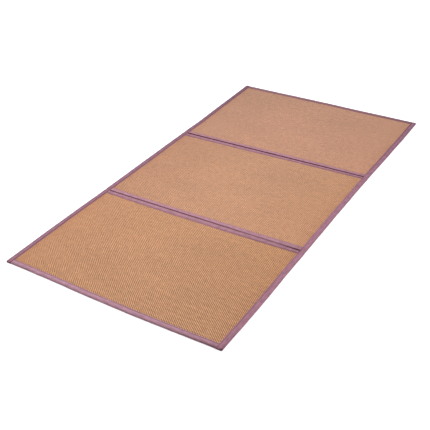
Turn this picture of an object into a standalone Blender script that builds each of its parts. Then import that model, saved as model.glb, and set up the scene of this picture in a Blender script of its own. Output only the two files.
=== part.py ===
"""Folding tatami mat of three woven panels, lying open and flat.

X runs across the mat, Y along it from the front end to the back end, and Z up. The origin
is under the middle of the mat's outline, on the surface that the mat lies on.

Each panel is a thick sheet of woven rush. Its edges are pinched thin, because a cloth tape
is folded over them and sewn down. The two side tapes run the whole length of the mat, past
both folds. The end tapes and the fold tapes run between them. A fold tape takes the edges
of two panels and is sewn through along its middle, which is the hinge.

Every piece is first made straight and square, and then laid out on the mat's real outline,
which is a little uneven.
"""
from collections import namedtuple
from math import cos, hypot, pi, radians, sin

import bmesh
import bpy

# The straight, square mat, in metres
MAT_WIDTH = 1.000
MAT_LENGTH = 1.890
FRONT_FOLD = -0.3242
BACK_FOLD = 0.3109
CORNER_RADIUS = 0.005
SEWN_GAP = 0.0003

# Tape: one thickness of folded cloth round a slot that holds the panels' edges
TAPE_WIDTH = 0.0250
FOLD_TAPE_NEAR_WIDTH = 0.0260
FOLD_TAPE_FAR_WIDTH = 0.0235
TAPE_CLOTH = 0.0012
TAPE_RIM_HEIGHT = 0.0059
SIDE_TAPE_CROWN = 0.0068
END_TAPE_CROWN = 0.0065
FOLD_TAPE_CROWN = 0.0065
SLOT_START = 0.0020

# The rolled outer edge of a tape: its depth, and the heights of its middle and of its
# shoulder as shares of the crown
ROLLED_EDGE = 0.0035
ROLLED_EDGE_STEPS = 6
ROLLED_MIDDLE = 0.48
ROLLED_SHOULDER = 0.94

# The upper face of a tape swells a little: its share of the rise from rim to crown, by
# distance from the tape's outer edge or hinge as a share of its width
BeadRow = namedtuple("BeadRow", "place rise")
BEAD_ROWS = (
    BeadRow(1.00, 0.00),
    BeadRow(0.84, 0.75),
    BeadRow(0.50, 1.00),
)
BEAD_SHOULDER = BeadRow(0.28, 0.87)

# Hinge: the sewn line along the middle of a fold tape, and the cloth that runs down to it
# from both sides, by distance out from the line
HINGE_SLOT_START = 0.0050
HingeRow = namedtuple("HingeRow", "out height")
HINGE_LINE_UNDER = HingeRow(0.0, 0.0016)
HINGE_UNDER_ROWS = (
    HingeRow(0.0009, 0.0013),
    HingeRow(0.0022, 0.0006),
    HingeRow(0.0045, 0.0000),
)
HINGE_LINE_OVER = HingeRow(0.0, 0.0029)
HINGE_OVER_ROWS = (
    HingeRow(0.0068, 0.0062),
    HingeRow(0.0042, 0.0053),
    HingeRow(0.0022, 0.0039),
    HingeRow(0.0010, 0.0031),
)

# Where a side tape crosses a fold there is no panel in it, and it sinks and draws in
CROSSING_HALF = 0.0050
CROSSING_SINK = 0.0014
CROSSING_DRAW = 0.0012

# Panel: pinched under the tape, and of full thickness in its field, with a short slope
# between, by distance past the tape's rim
SlopeRow = namedtuple("SlopeRow", "past_rim bottom top")
SLOPE_ROWS = (
    SlopeRow(0.0005, TAPE_CLOTH + SEWN_GAP, 0.0044),
    SlopeRow(0.0030, 0.00045, 0.0056),
    SlopeRow(0.0075, 0.0, 0.0060),
)

# Rows of points that all the pieces share: their spacing, and how close one of them may
# come to a row that a piece has of its own
ROW_SPACING = 0.050
ROW_CLEARANCE = 0.0125

# An edge that turns more than this shows as a crease
CREASE_ANGLE = radians(40)

# The laid outline: how far each side stands out past the straight mat, by place along it,
# and how much wider than the right tape the left one is
SideRow = namedtuple("SideRow", "place left_out right_out left_wider")
SIDE_ROWS = (
    SideRow(-0.9450, -0.0020, -0.0050, 0.0002),
    SideRow(-0.6800, -0.0011, -0.0027, 0.0000),
    SideRow(-0.5000, -0.0020, -0.0051, -0.0004),
    SideRow(-0.3242, -0.0038, -0.0060, 0.0010),
    SideRow(0.0000, -0.0036, -0.0084, 0.0023),
    SideRow(0.3109, -0.0044, -0.0079, 0.0014),
    SideRow(0.4500, -0.0063, -0.0058, 0.0006),
    SideRow(0.6500, -0.0024, -0.0035, 0.0004),
    SideRow(0.8000, -0.0006, -0.0024, 0.0007),
    SideRow(0.9450, 0.0020, -0.0034, 0.0006),
)

# How far the front end and the back end stand out, by place across them
BowRow = namedtuple("BowRow", "place front_out back_out")
BOW_ROWS = (
    BowRow(-0.500, 0.0008, 0.0011),
    BowRow(-0.300, 0.0010, 0.0019),
    BowRow(-0.140, 0.0041, 0.0034),
    BowRow(0.020, 0.0058, 0.0039),
    BowRow(0.200, 0.0049, 0.0014),
    BowRow(0.350, 0.0012, 0.0024),
    BowRow(0.500, -0.0016, 0.0012),
)

# How far a line across the mat is out of square, in metres along it for each metre across
SkewRow = namedtuple("SkewRow", "place skew")
SKEW_ROWS = (
    SkewRow(-0.9450, -0.0056),
    SkewRow(-0.3242, 0.0055),
    SkewRow(0.3109, 0.0186),
    SkewRow(0.9450, -0.0106),
)

# The fold tapes are cut and sewn unevenly: how much wider than its straight form each half
# of the front one and of the back one is, by place across the mat
WiderRow = namedtuple("WiderRow", "place front_near front_far back_near back_far")
WIDER_ROWS = (
    WiderRow(-0.475, -0.0015, -0.0005, 0.0002, -0.0030),
    WiderRow(-0.300, 0.0016, -0.0030, 0.0005, -0.0019),
    WiderRow(-0.150, 0.0031, -0.0035, 0.0003, -0.0005),
    WiderRow(0.000, 0.0025, -0.0019, -0.0025, 0.0003),
    WiderRow(0.150, 0.0020, -0.0010, -0.0042, 0.0004),
    WiderRow(0.300, -0.0003, 0.0000, -0.0054, -0.0022),
    WiderRow(0.475, -0.0040, 0.0025, -0.0058, -0.0033),
)

# A tape's extra width: it starts past the edge of the panel in the slot, is whole at the
# rim, and fades out in the panel
WIDER_START = 0.0060
WIDER_END = 0.1000

# A tape's rolled end: its height there, as a share of the whole, by distance from the end
EndRow = namedtuple("EndRow", "place height")
ROLLED_END_ROWS = (
    EndRow(0.0, 0.50),
    EndRow(0.0003, 0.80),
    EndRow(SLOT_START - TAPE_CLOTH, 1.00),
)

# The colours of the dry rush and of the tape's cotton, linear
RUSH_COLOUR = (0.550, 0.285, 0.155, 1.0)
COTTON_COLOUR = (0.420, 0.235, 0.290, 1.0)


# ---- the uneven outline ----

def read_rows(rows, column, place):
    """Read a column of a table at a place, on a smooth curve through its rows."""
    points = [(row.place, getattr(row, column)) for row in rows]
    if place <= points[0][0]:
        return points[0][1]
    if place >= points[-1][0]:
        return points[-1][1]

    def slope(index):
        before = points[max(index - 1, 0)]
        after = points[min(index + 1, len(points) - 1)]
        return (after[1] - before[1]) / (after[0] - before[0])

    index = max(i for i, point in enumerate(points[:-1]) if point[0] <= place)
    start, end = points[index], points[index + 1]
    span = end[0] - start[0]
    t = (place - start[0]) / span
    return (start[1] * (2 * t**3 - 3 * t**2 + 1) + end[1] * (3 * t**2 - 2 * t**3)
            + span * slope(index) * (t**3 - 2 * t**2 + t)
            + span * slope(index + 1) * (t**3 - t**2))


def round_corner(x, y):
    """Turn the square ends of the mat's outline into round ones."""
    into_x = abs(x) - (MAT_WIDTH / 2 - CORNER_RADIUS)
    into_y = abs(y) - (MAT_LENGTH / 2 - CORNER_RADIUS)
    if into_x <= 0 or into_y <= 0:
        return x, y
    shrink = 1 - max(into_x, into_y) / hypot(into_x, into_y)
    return (x - into_x * shrink * (1 if x > 0 else -1),
            y - into_y * shrink * (1 if y > 0 else -1))


def share_of_wider(inside, width):
    """Share of a tape's extra width that reaches a point, by distance inside its line."""
    return max(0.0, min((inside - WIDER_START) / (width - WIDER_START),
                        (WIDER_END - inside) / (WIDER_END - width)))


def widen_tapes(x, y):
    """Carry a point with the rims of the left tape and of the fold tapes beside it."""
    wide_x = x + (read_rows(SIDE_ROWS, "left_wider", y)
                  * share_of_wider(x + MAT_WIDTH / 2, TAPE_WIDTH))
    for fold, near, far in ((FRONT_FOLD, "front_near", "front_far"),
                            (BACK_FOLD, "back_near", "back_far")):
        y += (read_rows(WIDER_ROWS, far, x) * share_of_wider(y - fold, FOLD_TAPE_FAR_WIDTH)
              - read_rows(WIDER_ROWS, near, x) * share_of_wider(fold - y, FOLD_TAPE_NEAR_WIDTH))
    return wide_x, y


def lay_out(point):
    """Move a point of the straight, square mat to its place on the mat as it lies."""
    x, y = widen_tapes(*round_corner(point[0], point[1]))
    column = "left_out" if x < 0 else "right_out"
    laid_x = x * (1 + read_rows(SIDE_ROWS, column, y) / (MAT_WIDTH / 2))
    towards_front = max(0.0, (FRONT_FOLD - y) / (FRONT_FOLD + MAT_LENGTH / 2))
    towards_back = max(0.0, (y - BACK_FOLD) / (MAT_LENGTH / 2 - BACK_FOLD))
    laid_y = y - read_rows(BOW_ROWS, "front_out", x) * towards_front
    laid_y += read_rows(BOW_ROWS, "back_out", x) * towards_back
    laid_y += read_rows(SKEW_ROWS, "skew", y) * x
    return laid_x, laid_y, point[2]


# ---- rows of points ----

def fill_in(places):
    """Add the mat's common rows between places, so that neighbours bend at the same rows."""
    first, last = places[0], places[-1]
    common = [step * ROW_SPACING for step in range(round(first / ROW_SPACING),
                                                   round(last / ROW_SPACING) + 1)]
    added = [row for row in common if first < row < last
             and min(abs(row - place) for place in places) > ROW_CLEARANCE]
    return sorted(places + added)


def side_tape_places():
    """Places along a side tape: close together at its ends and where it crosses a fold."""
    end = MAT_LENGTH / 2
    from_end = [row.place for row in ROLLED_END_ROWS]
    from_end += [CORNER_RADIUS / 2, CORNER_RADIUS, TAPE_WIDTH]
    crossing = [-2 * CROSSING_HALF, -CROSSING_HALF, -CROSSING_HALF / 2, 0.0]
    crossing += [-place for place in reversed(crossing[:-1])]
    places = [-end + place for place in from_end]
    places += [FRONT_FOLD + place for place in crossing]
    places += [BACK_FOLD + place for place in crossing]
    places += [end - place for place in reversed(from_end)]
    return fill_in(places)


def across_places():
    """Places along an end tape or a fold tape, which end at the side tapes' rims."""
    end = MAT_WIDTH / 2 - TAPE_WIDTH - SEWN_GAP
    return fill_in([-end, 0.0, end])


# ---- skins, slots and finished objects ----

def loft(bm, rings):
    """Skin a row of closed rings, close both ends, and return the skin by side of the ring."""
    loops = [[bm.verts.new(point) for point in ring] for ring in rings]
    sides = len(loops[0])
    skin = [[] for _ in range(sides)]
    for near, far in zip(loops, loops[1:]):
        for side in range(sides):
            after = (side + 1) % sides
            face = bm.faces.new((near[side], near[after], far[after], far[side]))
            skin[side].append(face)
    bm.faces.new(reversed(loops[0]))
    bm.faces.new(loops[-1])
    return skin


def sink_slot(bm, mouth, depth):
    """Sink a slot into a strip of faces, with one thickness of cloth left all round it."""
    bm.normal_update()
    bmesh.ops.inset_region(bm, faces=mouth, thickness=TAPE_CLOTH, use_even_offset=True,
                           use_boundary=True)
    sunk = bmesh.ops.extrude_face_region(bm, geom=mouth)
    moved = [part for part in sunk["geom"] if isinstance(part, bmesh.types.BMVert)]
    bmesh.ops.delete(bm, geom=[face for face in mouth if face.is_valid], context="FACES")
    bmesh.ops.translate(bm, vec=depth, verts=moved)


def finish(bm, name, material, parent):
    """Make a named object of a skin whose points are on the mat as it lies."""
    bmesh.ops.recalc_face_normals(bm, faces=bm.faces)
    if bm.calc_volume(signed=True) < 0:
        bmesh.ops.reverse_faces(bm, faces=bm.faces)
    mesh = bpy.data.meshes.new(name)
    bm.to_mesh(mesh)
    bm.free()
    mesh.materials.append(material)
    mesh.shade_smooth()
    mesh.set_sharp_from_angle(angle=CREASE_ANGLE)
    piece = bpy.data.objects.new(name, mesh)
    bpy.context.collection.objects.link(piece)
    piece.parent = parent
    return piece


def plain_material(name, colour, roughness):
    """A matt, non-metallic finish."""
    material = bpy.data.materials.new(name)
    material.use_nodes = True
    shader = material.node_tree.nodes["Principled BSDF"]
    shader.inputs["Base Color"].default_value = colour
    shader.inputs["Roughness"].default_value = roughness
    shader.inputs["Metallic"].default_value = 0.0
    return material


# ---- the side tapes and the end tapes ----

def slot_section(slot_start, rim):
    """Section of a slot that opens at a tape's rim: four points, from the bottom lip up."""
    low, high = TAPE_CLOTH, TAPE_RIM_HEIGHT - TAPE_CLOTH
    return [(rim, low), (slot_start, low), (slot_start, high), (rim, high)]


def bead_section(rows, width, crown):
    """Section of the swelling upper face of a tape, from its rim in the order of the rows."""
    return [(width * row.place, TAPE_RIM_HEIGHT + (crown - TAPE_RIM_HEIGHT) * row.rise)
            for row in rows]


def tape_section(crown):
    """Section of a folded tape: distance in from its outer edge, and height."""
    section = bead_section(BEAD_ROWS + (BEAD_SHOULDER,), TAPE_WIDTH, crown)
    middle = crown * ROLLED_MIDDLE
    for step in range(ROLLED_EDGE_STEPS + 1):
        turn = pi / 2 + pi * step / ROLLED_EDGE_STEPS
        reach = crown * ROLLED_SHOULDER - middle if sin(turn) > 0 else middle
        section.append((ROLLED_EDGE * (1 + cos(turn)), middle + reach * sin(turn)))
    return section + [(TAPE_WIDTH, 0.0)]


def side_tape(name, side, material, parent):
    """A tape along the whole length of the mat, on its left (-1) or right (+1) side.

    Both its ends are rolled in and closed, so its slot stops one thickness of cloth short.
    """
    places = side_tape_places()
    middle = TAPE_RIM_HEIGHT / 2
    rings = []
    for place in places:
        from_end = min(place - places[0], places[-1] - place)
        share = read_rows(ROLLED_END_ROWS, "height", from_end)
        rings.append([(inward, place, middle + (height - middle) * share)
                      for inward, height in tape_section(SIDE_TAPE_CROWN)])
    bm = bmesh.new()
    skin = loft(bm, rings)
    rolled = len(ROLLED_END_ROWS) - 1
    mouth = skin[-1][rolled:-rolled]
    sink_slot(bm, mouth, (SLOT_START - TAPE_WIDTH, 0.0, 0.0))
    for vert in bm.verts:
        inward, y, z = vert.co
        from_fold = min(abs(y - FRONT_FOLD), abs(y - BACK_FOLD))
        crossing = max(0.0, 1 - from_fold / CROSSING_HALF)
        z -= CROSSING_SINK * crossing * z / SIDE_TAPE_CROWN
        inward += CROSSING_DRAW * crossing * max(0.0, 1 - inward / ROLLED_EDGE / 2)
        vert.co = lay_out((side * (MAT_WIDTH / 2 - inward), y, z))
    return finish(bm, name, material, parent)


def end_tape(name, end, material, parent):
    """A tape between the side tapes, on the front (-1) or back (+1) end of the mat."""
    section = slot_section(SLOT_START, TAPE_WIDTH) + tape_section(END_TAPE_CROWN)
    bm = bmesh.new()
    loft(bm, [[(x, inward, height) for inward, height in section] for x in across_places()])
    for vert in bm.verts:
        x, inward, z = vert.co
        vert.co = lay_out((x, end * (MAT_LENGTH / 2 - inward), z))
    return finish(bm, name, material, parent)


# ---- the fold tapes ----

def half_fold_section(width):
    """Section of one side of a fold tape: distance out from its hinge line, and height."""
    section = list(HINGE_UNDER_ROWS) + [(width, 0.0)] + slot_section(HINGE_SLOT_START, width)
    section += bead_section(BEAD_ROWS, width, FOLD_TAPE_CROWN)
    return section + list(HINGE_OVER_ROWS)


def fold_tape(name, fold, material, parent):
    """A tape along a fold, with a slot to each side for the edge of a panel."""
    far = half_fold_section(FOLD_TAPE_FAR_WIDTH)
    near = [(-out, height) for out, height in reversed(half_fold_section(FOLD_TAPE_NEAR_WIDTH))]
    section = [HINGE_LINE_UNDER] + far + [HINGE_LINE_OVER] + near
    bm = bmesh.new()
    loft(bm, [[(x, out, height) for out, height in section] for x in across_places()])
    for vert in bm.verts:
        vert.co = lay_out((vert.co.x, fold + vert.co.y, vert.co.z))
    return finish(bm, name, material, parent)


# ---- the panels ----

# An edge of a panel: the outer edge or hinge line beside it, how far short of that line the
# panel stops, and how far the tape covers it from there
PanelEdge = namedtuple("PanelEdge", "line short tape")


def panel_edge(line, tape):
    """The edge of a panel beside a line of the mat: one of its folds, or its outline."""
    at_hinge = line in (FRONT_FOLD, BACK_FOLD)
    return PanelEdge(line, (HINGE_SLOT_START if at_hinge else SLOT_START) + SEWN_GAP, tape)


def panel_places(start, end):
    """Places across a panel: its two edges, the slopes beside their tapes, and rows between."""
    slopes = [row.past_rim for row in SLOPE_ROWS]
    places = [start.line + start.short]
    places += [start.line + start.tape + slope for slope in slopes]
    places += [end.line - end.tape - slope for slope in reversed(slopes)]
    places += [end.line - end.short]
    return fill_in(places)


def panel_heights(past_rim):
    """Underside and top of a panel, by distance past the rim of the nearest tape."""
    reached = [row for row in SLOPE_ROWS[1:] if row.past_rim < past_rim + SEWN_GAP]
    row = reached[-1] if reached else SLOPE_ROWS[0]
    return row.bottom, row.top


def panel(name, front, back, material, parent):
    """A woven sheet between two edges along the mat."""
    left = panel_edge(-MAT_WIDTH / 2, TAPE_WIDTH)
    right = panel_edge(MAT_WIDTH / 2, TAPE_WIDTH)
    xs = panel_places(left, right)
    ys = panel_places(front, back)

    bm = bmesh.new()
    tops, bottoms = {}, {}
    for row, y in enumerate(ys):
        for column, x in enumerate(xs):
            past_rim = min(x - left.line - left.tape, right.line - right.tape - x,
                           y - front.line - front.tape, back.line - back.tape - y)
            bottom, top = panel_heights(past_rim)
            tops[column, row] = bm.verts.new(lay_out((x, y, top)))
            bottoms[column, row] = bm.verts.new(lay_out((x, y, bottom)))
    last_column, last_row = len(xs) - 1, len(ys) - 1
    for row in range(last_row):
        for column in range(last_column):
            corners = [(column, row), (column + 1, row), (column + 1, row + 1),
                       (column, row + 1)]
            bm.faces.new([tops[corner] for corner in corners])
            bm.faces.new([bottoms[corner] for corner in reversed(corners)])
    border = [(column, 0) for column in range(last_column)]
    border += [(last_column, row) for row in range(last_row)]
    border += [(column, last_row) for column in range(last_column, 0, -1)]
    border += [(0, row) for row in range(last_row, 0, -1)]
    for here, after in zip(border, border[1:] + border[:1]):
        bm.faces.new((bottoms[here], bottoms[after], tops[after], tops[here]))
    return finish(bm, name, material, parent)


# ---- the mat ----

def build_mat():
    """Make every piece, and centre the mat's outline on the origin."""
    for leftover in list(bpy.data.objects):
        bpy.data.objects.remove(leftover, do_unlink=True)
    mat = bpy.data.objects.new("mat", None)
    bpy.context.collection.objects.link(mat)
    rush = plain_material("woven rush", RUSH_COLOUR, 0.70)
    cotton = plain_material("mauve cotton tape", COTTON_COLOUR, 0.75)

    front_end = panel_edge(-MAT_LENGTH / 2, TAPE_WIDTH)
    before_front_fold = panel_edge(FRONT_FOLD, FOLD_TAPE_NEAR_WIDTH)
    after_front_fold = panel_edge(FRONT_FOLD, FOLD_TAPE_FAR_WIDTH)
    before_back_fold = panel_edge(BACK_FOLD, FOLD_TAPE_NEAR_WIDTH)
    after_back_fold = panel_edge(BACK_FOLD, FOLD_TAPE_FAR_WIDTH)
    back_end = panel_edge(MAT_LENGTH / 2, TAPE_WIDTH)
    pieces = [
        panel("panel_front", front_end, before_front_fold, rush, mat),
        panel("panel_middle", after_front_fold, before_back_fold, rush, mat),
        panel("panel_back", after_back_fold, back_end, rush, mat),
        side_tape("tape_left", -1, cotton, mat),
        side_tape("tape_right", 1, cotton, mat),
        end_tape("tape_front", -1, cotton, mat),
        end_tape("tape_back", 1, cotton, mat),
        fold_tape("fold_tape_front", FRONT_FOLD, cotton, mat),
        fold_tape("fold_tape_back", BACK_FOLD, cotton, mat),
    ]
    points = [vert.co for piece in pieces for vert in piece.data.vertices]
    mat.location.x = -(min(p.x for p in points) + max(p.x for p in points)) / 2
    mat.location.y = -(min(p.y for p in points) + max(p.y for p in points)) / 2


build_mat()
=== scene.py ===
"""Folding tatami mat of three woven rush panels, bound in mauve cotton tape, lying open.

The CAD model gives the size and place of every piece, and each piece here replaces its
node. Lengths are in metres. A piece is made straight and square, and laid out last.
"""

from collections import namedtuple
from math import pi, radians

import bpy
import numpy as np
from mathutils import Matrix, Vector


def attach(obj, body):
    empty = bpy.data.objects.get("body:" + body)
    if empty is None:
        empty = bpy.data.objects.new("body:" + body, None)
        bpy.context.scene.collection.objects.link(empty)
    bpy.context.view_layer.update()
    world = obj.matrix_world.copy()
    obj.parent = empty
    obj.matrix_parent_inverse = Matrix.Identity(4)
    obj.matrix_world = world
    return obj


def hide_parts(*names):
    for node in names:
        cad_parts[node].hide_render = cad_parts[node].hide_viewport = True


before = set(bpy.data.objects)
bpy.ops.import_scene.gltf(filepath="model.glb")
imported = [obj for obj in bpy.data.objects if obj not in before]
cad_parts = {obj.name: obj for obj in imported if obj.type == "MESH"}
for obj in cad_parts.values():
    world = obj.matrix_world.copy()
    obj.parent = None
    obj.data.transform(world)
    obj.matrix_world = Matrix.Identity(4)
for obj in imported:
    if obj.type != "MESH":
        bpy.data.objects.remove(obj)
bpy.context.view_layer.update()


# ---- The camera ----
# It stands in front of the mat and to its right, and looks down on it at about 33 degrees
# with the photograph's narrow view. It is turned a little about its own axis.

CAMERA_TARGET = Vector((0.04482, -0.26280, 0.0))
CAMERA_AZIMUTH = radians(33.209)
CAMERA_HEIGHT_ANGLE = radians(33.480)
CAMERA_ROLL = radians(-2.367)
CAMERA_DISTANCE = 3.1401
CAMERA_LENS_MM = 62.295
CAMERA_SENSOR_MM = 36.0

bpy.ops.object.camera_add()
camera = bpy.context.object
camera.name = "camera"
camera.data.sensor_width = CAMERA_SENSOR_MM
camera.data.lens = CAMERA_LENS_MM
camera_turn = (Matrix.Rotation(CAMERA_AZIMUTH, 4, "Z")
               @ Matrix.Rotation(pi / 2 - CAMERA_HEIGHT_ANGLE, 4, "X")
               @ Matrix.Rotation(CAMERA_ROLL, 4, "Z"))
camera_place = CAMERA_TARGET + camera_turn.col[2].xyz * CAMERA_DISTANCE
camera.matrix_world = Matrix.Translation(camera_place) @ camera_turn
bpy.context.scene.camera = camera


# ---- The floor and the light ----
# A plain white floor, which glows where it is out of the lamp's reach, so that all of it
# shows as clean white. One wide lamp hangs over the middle of the mat, and a white room,
# brighter at the back than at the front, fills in the rest.

FLOOR_SIZE = 60.0
FLOOR_WHITE = 0.90
FLOOR_MOTTLE = 0.02
FLOOR_GLOW = 0.60
GLOW_NEAR_MAT = 0.70
GLOW_FAR_OUT = 1.00
GLOW_START = 0.9
GLOW_FULL = 2.6
ROOM_FRONT = 0.25
ROOM_BACK = 1.15
LAMP_PLACE = Vector((-0.15, -0.05, 2.3))
LAMP_AIM = Vector((-0.15, -0.05, 0.0))
LAMP_SIZE = 1.3
LAMP_POWER = 33.0


class Shade:
    """A socket of a material's nodes. Arithmetic on it adds Math nodes to the material."""

    def __init__(self, tree, socket=None):
        self.tree = tree
        self.socket = socket

    def add(self, kind, settings=(), sockets=(), output=0):
        """Add a node of any type: its settings first, then its sockets' values or links."""
        node = self.tree.nodes.new("ShaderNode" + kind)
        for name, value in dict(settings).items():
            setattr(node, name, value)
        for name, value in dict(sockets).items():
            if isinstance(value, Shade):
                self.tree.links.new(value.socket, node.inputs[name])
            else:
                node.inputs[name].default_value = value
        return Shade(self.tree, node.outputs[output])

    def other(self, output):
        """Another output of the same node."""
        return Shade(self.tree, self.socket.node.outputs[output])

    def math(self, operation, first, second=0.0):
        return self.add("Math", {"operation": operation}, {0: first, 1: second})

    def __add__(self, value):
        return self.math("ADD", self, value)

    __radd__ = __add__

    def __sub__(self, value):
        return self.math("SUBTRACT", self, value)

    def __rsub__(self, value):
        return self.math("SUBTRACT", value, self)

    def __mul__(self, value):
        return self.math("MULTIPLY", self, value)

    __rmul__ = __mul__

    def __mod__(self, value):
        return self.math("MODULO", self, value)

    def __abs__(self):
        return self.math("ABSOLUTE", self)

    def floor(self):
        return self.math("FLOOR", self)

    def sine(self):
        return self.math("SINE", self)

    def at_most(self, limit):
        return self.math("MINIMUM", self, limit)

    def rise(self, low, high):
        """A smooth step from 0 at the low value to 1 at the high one."""
        return self.add("MapRange", {"interpolation_type": "SMOOTHSTEP"},
                        {"Value": self, "From Min": low, "From Max": high})

    def between(self, first, second):
        """The first number where this is 0, and the second where it is 1."""
        return first + (second - first) * self

    def colour(self, first, second):
        """The first colour where this is 0, and the second where it is 1."""
        first, second = (value if isinstance(value, Shade) else value + (1.0,)
                         for value in (first, second))
        return self.add("Mix", {"data_type": "RGBA", "clamp_factor": True},
                        {0: self, 6: first, 7: second}, output=2)

    def tinted(self, tint):
        """This colour, multiplied channel by channel by another."""
        return self.add("VectorMath", {"operation": "MULTIPLY"}, {0: self, 1: tint})

    def times(self, factor):
        """This colour, made lighter or darker by a factor."""
        return self.add("VectorMath", {"operation": "SCALE"}, {0: self, "Scale": factor})

    def clouds(self, across, along, detail):
        """Soft noise on a flat pattern, with clouds about 1 wide and 1 long."""
        spot = self.add("CombineXYZ", (), {"X": across, "Y": along})
        return self.add("TexNoise", (), {"Vector": spot, "Scale": 1.0, "Detail": detail})

    def bumps(self, strength, distance):
        """The surface's direction where this, times the distance, is its height."""
        return self.add("Bump", (), {"Strength": strength, "Distance": distance,
                                     "Height": self}, output="Normal")


def grey(level):
    """The colour of a grey or white of this lightness."""
    return (level, level, level)


def new_finish(name):
    """A material, its shader node, and the start of its node sums."""
    material = bpy.data.materials.new(name)
    material.use_nodes = True
    tree = material.node_tree
    return material, tree.nodes["Principled BSDF"], Shade(tree)


def feed(shader, **sockets):
    """Set or link the shader's sockets, whose names have _ for a space."""
    for name, value in sockets.items():
        socket = shader.inputs[name.replace("_", " ")]
        if isinstance(value, Shade):
            value.tree.links.new(value.socket, socket)
        else:
            socket.default_value = value


bpy.ops.object.select_all(action="DESELECT")
bpy.ops.mesh.primitive_plane_add(size=FLOOR_SIZE, location=(0.0, 0.0, 0.0))
floor = bpy.context.object
floor.name = "floor"
floor_finish, floor_shader, floor_sums = new_finish("white floor")
floor_spot = floor_sums.add("TexCoord", output="Object")
floor_mottle = floor_sums.add("TexNoise", (), {"Vector": floor_spot, "Scale": 3.0, "Detail": 2.0})
from_mat = floor_sums.add("VectorMath", {"operation": "LENGTH"}, {0: floor_spot}, output="Value")
feed(floor_shader, Roughness=0.9, Specular_IOR_Level=0.0, Emission_Strength=FLOOR_GLOW,
     Base_Color=floor_mottle.rise(0.2, 0.8).colour(
         grey(FLOOR_WHITE), grey(FLOOR_WHITE + FLOOR_MOTTLE)),
     Emission_Color=from_mat.rise(GLOW_START, GLOW_FULL).colour(
         grey(GLOW_NEAR_MAT), grey(GLOW_FAR_OUT)))
floor.data.materials.append(floor_finish)

room = bpy.data.worlds.new("white room")
room.use_nodes = True
room_sums = Shade(room.node_tree)
direction = room_sums.add("SeparateXYZ", (), {
    "Vector": room_sums.add("TexCoord", output="Generated")})
feed(room.node_tree.nodes["Background"], Color=direction.other("Y").rise(-0.8, 0.8).colour(
    grey(ROOM_FRONT), grey(ROOM_BACK)))
bpy.context.scene.world = room

bpy.ops.object.light_add(type="AREA", location=LAMP_PLACE,
                         rotation=(LAMP_AIM - LAMP_PLACE).to_track_quat("-Z", "Y").to_euler())
lamp = bpy.context.object
lamp.name = "wide lamp"
lamp.data.shape = "SQUARE"
lamp.data.size = LAMP_SIZE
lamp.data.energy = LAMP_POWER
bpy.context.scene.view_settings.view_transform = "Standard"


# ---- The three woven panels ----
# Each is one sheet of split rush, woven over and under in flat strands about 5 mm wide, and
# 6 mm thick in all. Its edges are pinched thin under the tapes that are sewn over them.

# The straight, square mat, and how far its middle lies from the frame's origin
MAT_WIDTH = 1.000
MAT_LENGTH = 1.890
FRONT_FOLD = -0.3242
BACK_FOLD = 0.3109
CORNER_RADIUS = 0.005
MAT_SHIFT = (0.002155, -0.000018)

# The tapes' widths, before and after the fold for a fold tape, and how far a panel's edge
# stops short of the mat's edge or of a fold inside them
TAPE_WIDTH = 0.0250
FOLD_TAPE_NEAR_WIDTH = 0.0260
FOLD_TAPE_FAR_WIDTH = 0.0235
OUTER_EDGE_SHORT = 0.0023
HINGE_EDGE_SHORT = 0.0053
PINCHED_UNDER = 0.0015

# The size of a crossing, and the weave's height between crossings and in the middle of one
# with the strand across (weft) or the strand along (warp) on top
STRAND_ACROSS = 0.00532
STRAND_ALONG = 0.00433
CROSSING_LOW = -0.00022
WEFT_OVER_HIGH = 0.00034
WARP_OVER_HIGH = 0.00012

# What the straw's colour is multiplied by in the most shaded and the most lit strand, as
# painted shade and light of the weave's relief, and beside the tapes, as painted shade
SHADED_STRAND = (0.515, 0.375, 0.225)
LIT_STRAND = (1.535, 1.86, 2.425)
STRAW_SHADE_BY_TAPES = (0.965, 0.930, 0.895)

# Fibres in a strand's width and along one crossing of it, and how much the lightness changes
# from fibre to fibre, strand to strand, crossing to crossing, over a few crossings and over
# some dozens of them, and goes down in the crevices as painted shade
FIBRES_ACROSS = 15.0
FIBRES_ALONG = 0.7
FIBRE_TONE = 0.14
STRAND_TONE = 0.07
CROSSING_TONE = 0.10
UNEVEN_TONE = 0.42
MOTTLE_TONE = 0.25
CREVICE_SHADE = 0.72

# How far each long side stands out past the straight mat, by place along it, and how much
# wider than the right tape the left one is
SideRow = namedtuple("SideRow", "place left_out right_out left_wider")
SIDE_ROWS = (
    SideRow(-0.9450, -0.0020, -0.0050, 0.0002),
    SideRow(-0.6800, -0.0011, -0.0027, 0.0000),
    SideRow(-0.5000, -0.0020, -0.0051, -0.0004),
    SideRow(-0.3242, -0.0038, -0.0060, 0.0010),
    SideRow(0.0000, -0.0036, -0.0084, 0.0023),
    SideRow(0.3109, -0.0044, -0.0079, 0.0014),
    SideRow(0.4500, -0.0063, -0.0058, 0.0006),
    SideRow(0.6500, -0.0024, -0.0035, 0.0004),
    SideRow(0.8000, -0.0006, -0.0024, 0.0007),
    SideRow(0.9450, 0.0020, -0.0034, 0.0006),
)
# How far the front end and the back end stand out, by place across them
BowRow = namedtuple("BowRow", "place front_out back_out")
BOW_ROWS = (
    BowRow(-0.500, 0.0008, 0.0011),
    BowRow(-0.300, 0.0010, 0.0019),
    BowRow(-0.140, 0.0041, 0.0034),
    BowRow(0.020, 0.0058, 0.0039),
    BowRow(0.200, 0.0049, 0.0014),
    BowRow(0.350, 0.0012, 0.0024),
    BowRow(0.500, -0.0016, 0.0012),
)
# How far a line across the mat is out of square, by place along it
SkewRow = namedtuple("SkewRow", "place skew")
SKEW_ROWS = (
    SkewRow(-0.9450, -0.0056),
    SkewRow(-0.3242, 0.0055),
    SkewRow(0.3109, 0.0186),
    SkewRow(0.9450, -0.0106),
)
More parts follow.
